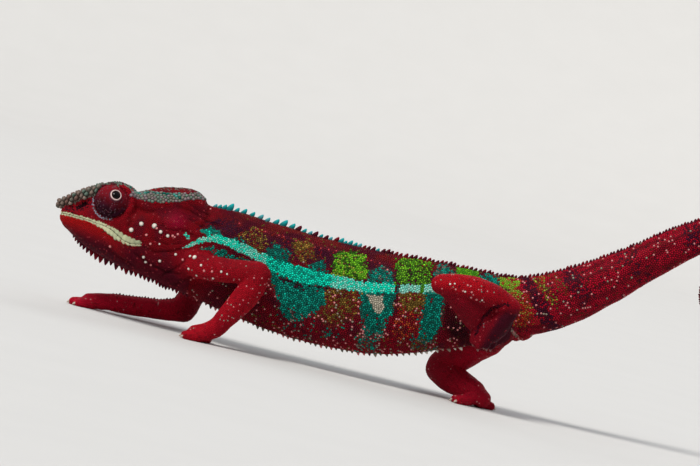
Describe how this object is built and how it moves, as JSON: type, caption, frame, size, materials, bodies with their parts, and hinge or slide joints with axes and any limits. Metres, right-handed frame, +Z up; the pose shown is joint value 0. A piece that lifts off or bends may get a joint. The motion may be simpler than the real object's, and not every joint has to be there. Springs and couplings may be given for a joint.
{
  "type": "panther chameleon",
  "caption": "Life-size still model of an adult male panther chameleon walking, with a hind foot lifted and the tail curled at its end.",
  "frame": {"origin": "centre of the bounding box's bottom face, on the floor that the feet stand on", "axes": "+X from the head towards the tail, +Y towards the animal's right side, +Z up"},
  "size_m": [0.2888, 0.0608, 0.0982],
  "materials": {
    "skin": "fine scaly skin, satin",
    "eye": "wet gloss",
    "claw": "smooth horn, satin"
  },
  "bodies": {
    "root": {"head": "skin", "lower_jaw": "skin", "eye_turret_left": "skin", "eye_left": "eye", "eye_turret_right": "skin", "eye_right": "eye", "neck": "skin", "trunk_front": "skin", "trunk_rear": "skin", "tail_base": "skin", "tail_middle": "skin", "tail_arch": "skin", "tail_coil": "skin", "tail_tip": "skin", "front_left_upper_arm": "skin", "front_left_forearm": "skin", "front_left_palm": "skin", "front_left_outer_toes": "skin", "front_left_inner_toes": "skin", "front_left_claw_1": "claw", "front_left_claw_2": "claw", "front_left_claw_3": "claw", "front_left_claw_4": "claw", "front_left_claw_5": "claw", "front_right_upper_arm": "skin", "front_right_forearm": "skin", "front_right_palm": "skin", "front_right_outer_toes": "skin", "front_right_inner_toes": "skin", "front_right_claw_1": "claw", "front_right_claw_2": "claw", "front_right_claw_3": "claw", "front_right_claw_4": "claw", "front_right_claw_5": "claw", "hind_left_thigh": "skin", "hind_left_shin": "skin", "hind_left_palm": "skin", "hind_left_outer_toes": "skin", "hind_left_inner_toes": "skin", "hind_left_claw_1": "claw", "hind_left_claw_2": "claw", "hind_left_claw_3": "claw", "hind_left_claw_4": "claw", "hind_left_claw_5": "claw", "hind_right_thigh": "skin", "hind_right_shin": "skin", "hind_right_palm": "skin", "hind_right_outer_toes": "skin", "hind_right_inner_toes": "skin", "hind_right_claw_1": "claw", "hind_right_claw_2": "claw", "hind_right_claw_3": "claw", "hind_right_claw_4": "claw", "hind_right_claw_5": "claw"}
  },
  "joints": []
}
